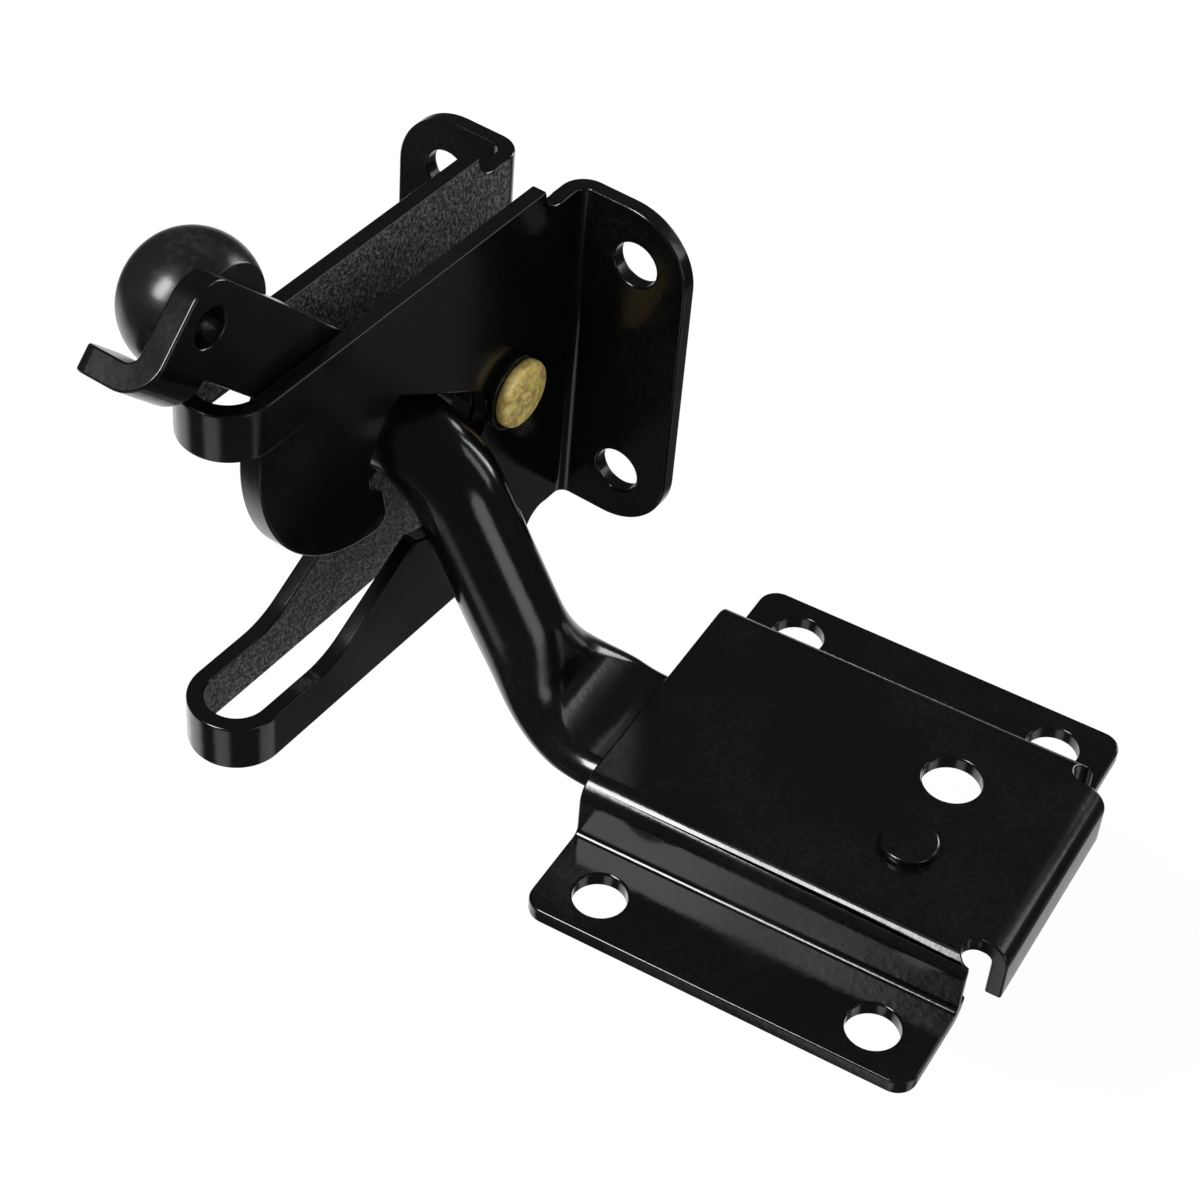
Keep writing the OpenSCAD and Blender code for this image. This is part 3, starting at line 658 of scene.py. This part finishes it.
class GATELATCH_OT_body(Operator):
    """Bent latch body with two flanges, two cheeks and the mouth"""

    bl_idname = "gate_latch.body"
    bl_label = "Latch body"

    def execute(self, context):
        edge = context.scene.gate_latch_coat.edge
        coated_piece("latch_body_coated", "latch_body", "latch", edge, material=cheek_coat())
        return {"FINISHED"}


class GATELATCH_OT_pivot(Operator):
    """Yellow pivot rivet with its washer and spacer"""

    bl_idname = "gate_latch.pivot"
    bl_label = "Pivot rivet, washer and spacer"

    def execute(self, context):
        dome = context.scene.gate_latch_zinc.dome
        low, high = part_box("pivot_rivet")
        washer_low, washer_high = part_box("head_washer")
        middle = (low + high) / 2
        head = (high.y - low.y) / 2
        seat = washer_high.x
        far = -washer_low.x
        profile = [
            (low.x, 0), (low.x + 0.05 * MM, head * 0.3), (low.x + 0.25 * MM, head * 0.58),
            (low.x + 0.6 * MM, head * 0.8), (low.x + 1.0 * MM, head * 0.92), (far - 0.2 * MM, head),
            (far, head * 0.98), (far, PIVOT_SHANK), (seat, PIVOT_SHANK),
            (seat, head * 0.96), (seat + 0.12 * MM, head),
            (high.x - dome - 0.45 * MM, head), (high.x - dome - 0.2 * MM, head * 0.975),
            (high.x - dome - 0.04 * MM, head * 0.92), (high.x - dome * 0.8, head * 0.82),
            (high.x - dome * 0.4, head * 0.58), (high.x - dome * 0.1, head * 0.3), (high.x, 0)]
        place = Matrix.Translation((0, middle.y, middle.z)) @ Matrix.Rotation(math.pi / 2, 4, "Y")
        mesh = turned_mesh("pivot_rivet_zinc", profile, place)
        piece = finish_piece(mesh, "pivot_rivet_zinc", "pivot_rivet", "latch", yellow_zinc())
        even_shading(piece)
        coated_piece("head_washer_coated", "head_washer", "latch", 0.15 * MM)
        coated_piece("pawl_spacer_coated", "pawl_spacer", "latch", 0.2 * MM)
        return {"FINISHED"}


class GATELATCH_OT_pawl(Operator):
    """Lifting pawl with its hook, lever and thumb tab"""

    bl_idname = "gate_latch.pawl"
    bl_label = "Pawl"

    def execute(self, context):
        coated_piece("pawl_coated", "pawl", "pawl", context.scene.gate_latch_coat.edge)
        return {"FINISHED"}


class GATELATCH_OT_knob(Operator):
    """Gloss knob and the stud that holds it"""

    bl_idname = "gate_latch.knob"
    bl_label = "Knob and stud"

    def execute(self, context):
        coated_piece("knob_gloss", "knob", "pawl", 0.12 * MM, black_plastic())
        coated_piece("knob_stud_coated", "knob_stud", "pawl", 0.2 * MM)
        return {"FINISHED"}


class GATELATCH_OT_bar(Operator):
    """Cranked striker bar with its pressed tongue"""

    bl_idname = "gate_latch.bar"
    bl_label = "Striker bar"

    def execute(self, context):
        bar = context.scene.gate_latch_bar
        radius = bar.diameter / 2
        half_width = bar.tongue_width / 2
        half_thick = bar.tongue_thick / 2
        straight = bar.reach + bar.corner - bar.upper_bend * math.tan(bar.slope / 2)
        bends = (bar.upper_bend + bar.lower_bend) * (1 - math.cos(bar.slope))
        run = (bar.fall - bends) / math.sin(bar.slope)
        start = straight + bar.upper_bend * bar.slope + run
        end = start + bar.lower_bend * bar.slope
        foot = bar.corner + bar.fall / math.tan(bar.slope)
        flat = foot + bar.lower_bend * math.tan(bar.slope / 2)
        points = [
            (-bar.reach, 0), (bar.corner, 0), (foot, -bar.fall), (bar.tongue_x + half_width, -bar.fall)]
        curve = bpy.data.curves.new("bar_path", "CURVE")
        curve.dimensions = "3D"
        spline = curve.splines.new("POLY")
        spline.points.add(len(points) - 1)
        for point, (x, z) in zip(spline.points, points):
            point.co = (x, 0, z, 1)
        path = bpy.data.objects.new("bar_path", curve)
        context.scene.collection.objects.link(path)
        mesh = baked(path, bar_tree(), {
            "Radius": radius, "Upper Bend": bar.upper_bend, "Lower Bend": bar.lower_bend,
            "Press Start": start - bar.lead, "Press End": start + (end - start) / bar.early,
            "Tongue End": end + bar.tongue_x - flat, "Half Width": half_width, "Half Thickness": half_thick,
            "End Bevel": bar.bevel, "Sidestep": bar.sidestep, "Sides": bar.sides, "Coat": black_coat()},
            "striker_bar_coated")
        bpy.data.objects.remove(path)
        bpy.data.curves.remove(curve)
        slide = Vector(JOINTS["striker_slide"]["axis"])
        yaw = math.atan2(slide.y, slide.x)
        mesh.transform(Matrix.Translation((0, -bar.out, bar.up)) @ Matrix.Rotation(yaw, 4, "Z"))
        shell = bmesh.new()
        shell.from_mesh(mesh)
        bmesh.ops.remove_doubles(shell, verts=shell.verts, dist=1e-7)
        bmesh.ops.recalc_face_normals(shell, faces=shell.faces)
        shell.to_mesh(mesh)
        shell.free()
        rivet = sum(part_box("striker_rivet"), Vector()) / 2
        mesh = drilled(mesh, (rivet.x, rivet.y, bar.up - bar.fall), bar.rivet_hole / 2, bar.tongue_thick)
        mesh.name = "striker_bar_coated"
        piece = finish_piece(mesh, "striker_bar_coated", "striker_bar", "striker", black_coat())
        even_shading(piece)
        return {"FINISHED"}


class GATELATCH_OT_plate(Operator):
    """Hat-section striker plate with its end wall"""

    bl_idname = "gate_latch.plate"
    bl_label = "Striker plate"

    def execute(self, context):
        coated_piece("striker_plate_coated", "striker_plate", "plate", context.scene.gate_latch_coat.edge)
        return {"FINISHED"}


class GATELATCH_OT_plate_rivet(Operator):
    """Black rivet that holds the tongue under the plate, with its washer"""

    bl_idname = "gate_latch.plate_rivet"
    bl_label = "Striker rivet and washer"

    def execute(self, context):
        coated_piece("striker_rivet_coated", "striker_rivet", "plate", 0.35 * MM)
        coated_piece("striker_washer_coated", "striker_washer", "plate", 0.15 * MM)
        return {"FINISHED"}


def camera_axes(stage):
    """The camera's right, up and back directions."""
    az, el, roll = stage.azimuth, stage.elevation, stage.roll
    back = Vector((math.sin(az) * math.cos(el), -math.cos(az) * math.cos(el), math.sin(el)))
    right = Vector((math.cos(az), math.sin(az), 0))
    up = back.cross(right)
    return (math.cos(roll) * right + math.sin(roll) * up, math.cos(roll) * up - math.sin(roll) * right, back)


def soft_lamp(name, direction, size, watts):
    """A rectangular soft box that faces the latch."""
    data = bpy.data.lights.new(name, "AREA")
    data.shape = "RECTANGLE"
    data.size, data.size_y = size
    data.energy = watts
    lamp = bpy.data.objects.new(name, data)
    aim = Vector(LAMP_AIM)
    lamp.location = aim + Vector(direction).normalized() * LAMP_DISTANCE
    lamp.rotation_euler = (aim - lamp.location).to_track_quat("-Z", "Y").to_euler()
    bpy.context.scene.collection.objects.link(lamp)


class GATELATCH_OT_stage(Operator):
    """Pale floor, studio light and camera"""

    bl_idname = "gate_latch.stage"
    bl_label = "Stage"

    def execute(self, context):
        scene = context.scene
        stage = scene.gate_latch_stage
        right, up, back = camera_axes(stage)
        data = bpy.data.cameras.new("photo_camera")
        data.sensor_width = 36
        data.lens = stage.lens
        data.clip_start = 0.01
        camera = bpy.data.objects.new("photo_camera", data)
        turn = Matrix((right, up, back)).transposed()
        where = stage.distance * back + stage.across * right + stage.upward * up
        camera.matrix_world = Matrix.Translation(where) @ turn.to_4x4()
        scene.collection.objects.link(camera)
        scene.camera = camera
        scene.view_settings.view_transform = "Standard"
        self.lay_floor(scene, stage)
        self.light_room(scene, stage, back)
        return {"FINISHED"}

    def lay_floor(self, scene, stage):
        level = CAD_BOX[0][2] - stage.drop
        shell = bmesh.new()
        bmesh.ops.create_grid(shell, x_segments=8, y_segments=8, size=4)
        shell.transform(Matrix.Translation((0, 0, level)))
        mesh = bpy.data.meshes.new("pale_floor")
        shell.to_mesh(mesh)
        shell.free()
        material, tree, shader = new_material("pale_floor")
        shader.inputs["Base Color"].default_value = stage.floor
        shader.inputs["Roughness"].default_value = 0.9
        shader.inputs["Specular IOR Level"].default_value = 0.1
        seen = add(tree, "ShaderNodeLightPath").outputs
        glow = add(tree, "ShaderNodeEmission", {"Color": (1, 1, 1, 1), "Strength": 1.0})
        amount = math_of(tree, "MULTIPLY", seen["Is Camera Ray"], FLOOR_GLOW)
        mixed = add(tree, "ShaderNodeMixShader", {0: amount, 1: shader.outputs[0], 2: glow.outputs[0]})
        tree.links.new(mixed.outputs[0], tree.nodes["Material Output"].inputs["Surface"])
        mesh.materials.append(material)
        floor = bpy.data.objects.new("pale_floor", mesh)
        floor.visible_glossy = False
        scene.collection.objects.link(floor)

    def light_room(self, scene, stage, back):
        world = bpy.data.worlds.new("white_room")
        scene.world = world
        world.use_nodes = True
        tree = world.node_tree
        tree.nodes.clear()
        seen = add(tree, "ShaderNodeLightPath").outputs
        toward = add(tree, "ShaderNodeTexCoord").outputs["Generated"]
        front = add(tree, "ShaderNodeVectorMath", {0: toward, 1: back}, operation="DOT_PRODUCT").outputs["Value"]
        tone = add(tree, "ShaderNodeMapRange", {
            "Value": front, "From Min": -0.45, "From Max": -0.1,
            "To Min": stage.shade, "To Max": stage.gloom}).outputs[0]
        for middle, start, end, strength in ((-back, *BEHIND_GLOW), *GLOSS_PATCHES):
            near = add(tree, "ShaderNodeVectorMath", {0: toward, 1: middle}, operation="DOT_PRODUCT").outputs["Value"]
            glow = add(tree, "ShaderNodeMapRange", {
                "Value": near, "From Min": start, "From Max": end, "To Min": 0.0, "To Max": strength},
                interpolation_type="SMOOTHSTEP").outputs[0]
            tone = math_of(tree, "ADD", tone, glow)
        shown = add(tree, "ShaderNodeBackground", {"Color": (1, 1, 1, 1), "Strength": tone})
        even = add(tree, "ShaderNodeBackground", {"Color": (1, 1, 1, 1), "Strength": stage.fill})
        white = add(tree, "ShaderNodeBackground", {"Color": (1, 1, 1, 1), "Strength": 1.0})
        glossy = math_of(tree, "MAXIMUM", seen["Is Glossy Ray"], seen["Is Transmission Ray"])
        room = add(tree, "ShaderNodeMixShader", {0: glossy, 1: even.outputs[0], 2: shown.outputs[0]})
        sky = add(tree, "ShaderNodeMixShader", {0: seen["Is Camera Ray"], 1: room.outputs[0], 2: white.outputs[0]})
        add(tree, "ShaderNodeOutputWorld", {"Surface": sky.outputs[0]})
        for name, direction, size in SOFT_BOXES:
            soft_lamp(name + "_softbox", direction, size, getattr(stage, name))


class GATELATCH_PT_panel(Panel):
    """Lists the latch's pieces and settings"""

    bl_idname = "GATELATCH_PT_panel"
    bl_label = "Gate latch"
    bl_space_type = "VIEW_3D"
    bl_region_type = "UI"
    bl_category = "Gate latch"

    def draw(self, context):
        for name, group in SETTINGS.items():
            box = self.layout.box()
            box.label(text=group.__doc__)
            for key in group.__annotations__:
                box.prop(getattr(context.scene, name), key)
        for operator in OPERATORS:
            self.layout.operator(operator.bl_idname)


OPERATORS = (
    GATELATCH_OT_body, GATELATCH_OT_pivot, GATELATCH_OT_pawl, GATELATCH_OT_knob,
    GATELATCH_OT_bar, GATELATCH_OT_plate, GATELATCH_OT_plate_rivet, GATELATCH_OT_stage)
CLASSES = (*SETTINGS.values(), *OPERATORS, GATELATCH_PT_panel)


def register():
    for item in CLASSES:
        bpy.utils.register_class(item)
    for name, group in SETTINGS.items():
        setattr(bpy.types.Scene, name, PointerProperty(type=group))


def unregister():
    for name in SETTINGS:
        delattr(bpy.types.Scene, name)
    for item in reversed(CLASSES):
        bpy.utils.unregister_class(item)


def main():
    register()
    bpy.ops.gate_latch.body()
    bpy.ops.gate_latch.pivot()
    bpy.ops.gate_latch.pawl()
    bpy.ops.gate_latch.knob()
    bpy.ops.gate_latch.bar()
    bpy.ops.gate_latch.plate()
    bpy.ops.gate_latch.plate_rivet()
    bpy.ops.gate_latch.stage()


if __name__ == "__main__":
    main()
